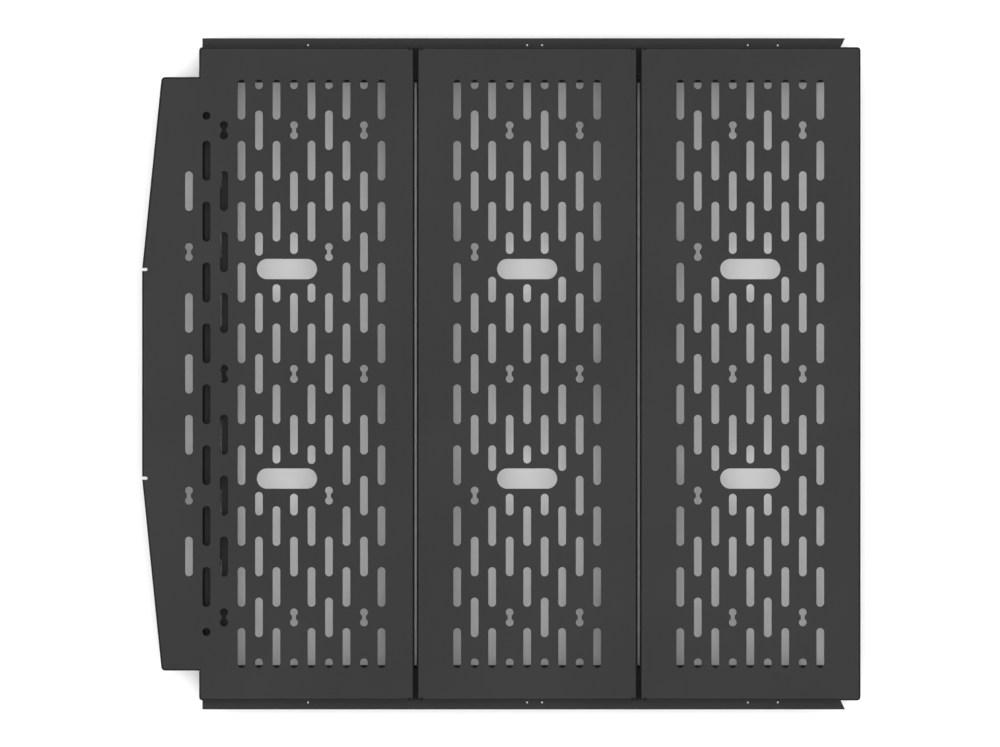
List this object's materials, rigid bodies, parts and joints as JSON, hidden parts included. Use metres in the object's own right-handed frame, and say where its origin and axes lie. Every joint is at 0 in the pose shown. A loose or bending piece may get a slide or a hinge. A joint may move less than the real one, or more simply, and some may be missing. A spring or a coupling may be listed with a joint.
{
  "type": "headache rack",
  "caption": "Flat slotted headache rack: perforated steel panels bolted to folded side rails, with a tapered front end and a hidden slotted crossmember.",
  "frame": {"origin": "centre of the rack's footprint, on the plane of the rail feet", "axes": "+Z out of the slotted face, +X along the side rails towards the plain rear edge, +Y across the rack to the left rail"},
  "size_m": [0.8992, 0.8412, 0.0443],
  "materials": {
    "powder_coat": "matte",
    "zinc_plate": "satin"
  },
  "bodies": {
    "root": {"front_panel": "powder_coat", "centre_panel": "powder_coat", "rear_panel": "powder_coat", "left_side_rail": "powder_coat", "right_side_rail": "powder_coat", "slotted_crossmember": "powder_coat", "panel_bolt_left_1": "zinc_plate", "panel_nut_left_1": "zinc_plate", "panel_bolt_left_2": "zinc_plate", "panel_nut_left_2": "zinc_plate", "panel_bolt_left_3": "zinc_plate", "panel_nut_left_3": "zinc_plate", "panel_bolt_left_4": "zinc_plate", "panel_nut_left_4": "zinc_plate", "panel_bolt_left_5": "zinc_plate", "panel_nut_left_5": "zinc_plate", "panel_bolt_left_6": "zinc_plate", "panel_nut_left_6": "zinc_plate", "panel_bolt_right_1": "zinc_plate", "panel_nut_right_1": "zinc_plate", "panel_bolt_right_2": "zinc_plate", "panel_nut_right_2": "zinc_plate", "panel_bolt_right_3": "zinc_plate", "panel_nut_right_3": "zinc_plate", "panel_bolt_right_4": "zinc_plate", "panel_nut_right_4": "zinc_plate", "panel_bolt_right_5": "zinc_plate", "panel_nut_right_5": "zinc_plate", "panel_bolt_right_6": "zinc_plate", "panel_nut_right_6": "zinc_plate", "cross_bolt_left_1": "zinc_plate", "cross_nut_left_1": "zinc_plate", "cross_bolt_left_2": "zinc_plate", "cross_nut_left_2": "zinc_plate", "cross_bolt_right_1": "zinc_plate", "cross_nut_right_1": "zinc_plate", "cross_bolt_right_2": "zinc_plate", "cross_nut_right_2": "zinc_plate"}
  },
  "joints": []
}
